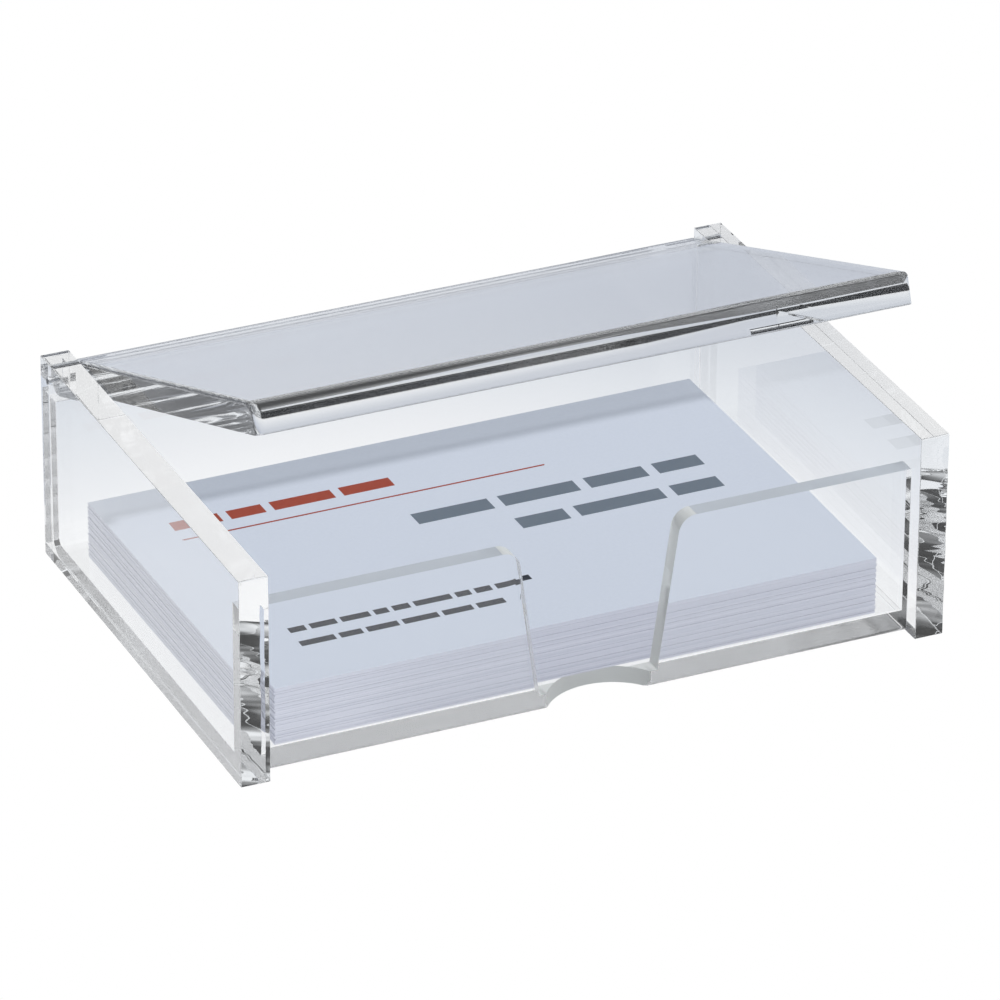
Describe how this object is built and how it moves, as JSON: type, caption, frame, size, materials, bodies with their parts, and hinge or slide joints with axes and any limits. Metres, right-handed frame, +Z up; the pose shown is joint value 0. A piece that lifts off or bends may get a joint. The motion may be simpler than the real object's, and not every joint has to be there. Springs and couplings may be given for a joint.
{
  "type": "business card box",
  "caption": "Clear acrylic desk box for business cards, with a bent tray, a thumb cut-out in front, a pin-hinged lid and a stack of cards.",
  "frame": {"origin": "on the table, in the middle of the box's footprint", "axes": "+X to the right along the box's width, +Y to the back where the hinge is, +Z up"},
  "size_m": [0.099, 0.068, 0.0513],
  "materials": {
    "clear_acrylic": "clear cast acrylic with polished faces and edges; the thumb cut-out's edges are left matt",
    "pin_steel": "plain drawn steel pin",
    "card_stock": "smooth white card"
  },
  "bodies": {
    "box": {"left_side_panel": "clear_acrylic", "right_side_panel": "clear_acrylic", "tray": "clear_acrylic", "left_hinge_pin": "pin_steel", "right_hinge_pin": "pin_steel"},
    "lid": {"lid": "clear_acrylic"},
    "card_stack": {"card_01": "card_stock", "card_02": "card_stock", "card_03": "card_stock", "card_04": "card_stock", "card_05": "card_stock", "card_06": "card_stock", "card_07": "card_stock", "card_08": "card_stock", "card_09": "card_stock", "card_10": "card_stock", "card_11": "card_stock", "card_12": "card_stock", "card_13": "card_stock", "card_14": "card_stock", "card_15": "card_stock", "card_16": "card_stock", "card_17": "card_stock", "card_18": "card_stock", "card_19": "card_stock", "card_20": "card_stock", "card_21": "card_stock", "card_22": "card_stock", "card_23": "card_stock", "card_24": "card_stock", "card_25": "card_stock", "card_26": "card_stock"},
    "top_card": {"top_card": "card_stock"}
  },
  "joints": [
    {"name": "lid_hinge", "type": "hinge", "parent": "box", "child": "lid", "pos_m": [0, 0.0322, 0.02643], "axis": [-1, 0, 0], "range_deg": [-20.3, 179.7]},
    {"name": "card_stack_lift", "type": "slide", "parent": "box", "child": "card_stack", "axis": [0, 0, 1], "range_m": [0, 0.0065]},
    {"name": "top_card_lift", "type": "slide", "parent": "card_stack", "child": "top_card", "axis": [0, 0, 1], "range_m": [0, 0.0065]}
  ]
}
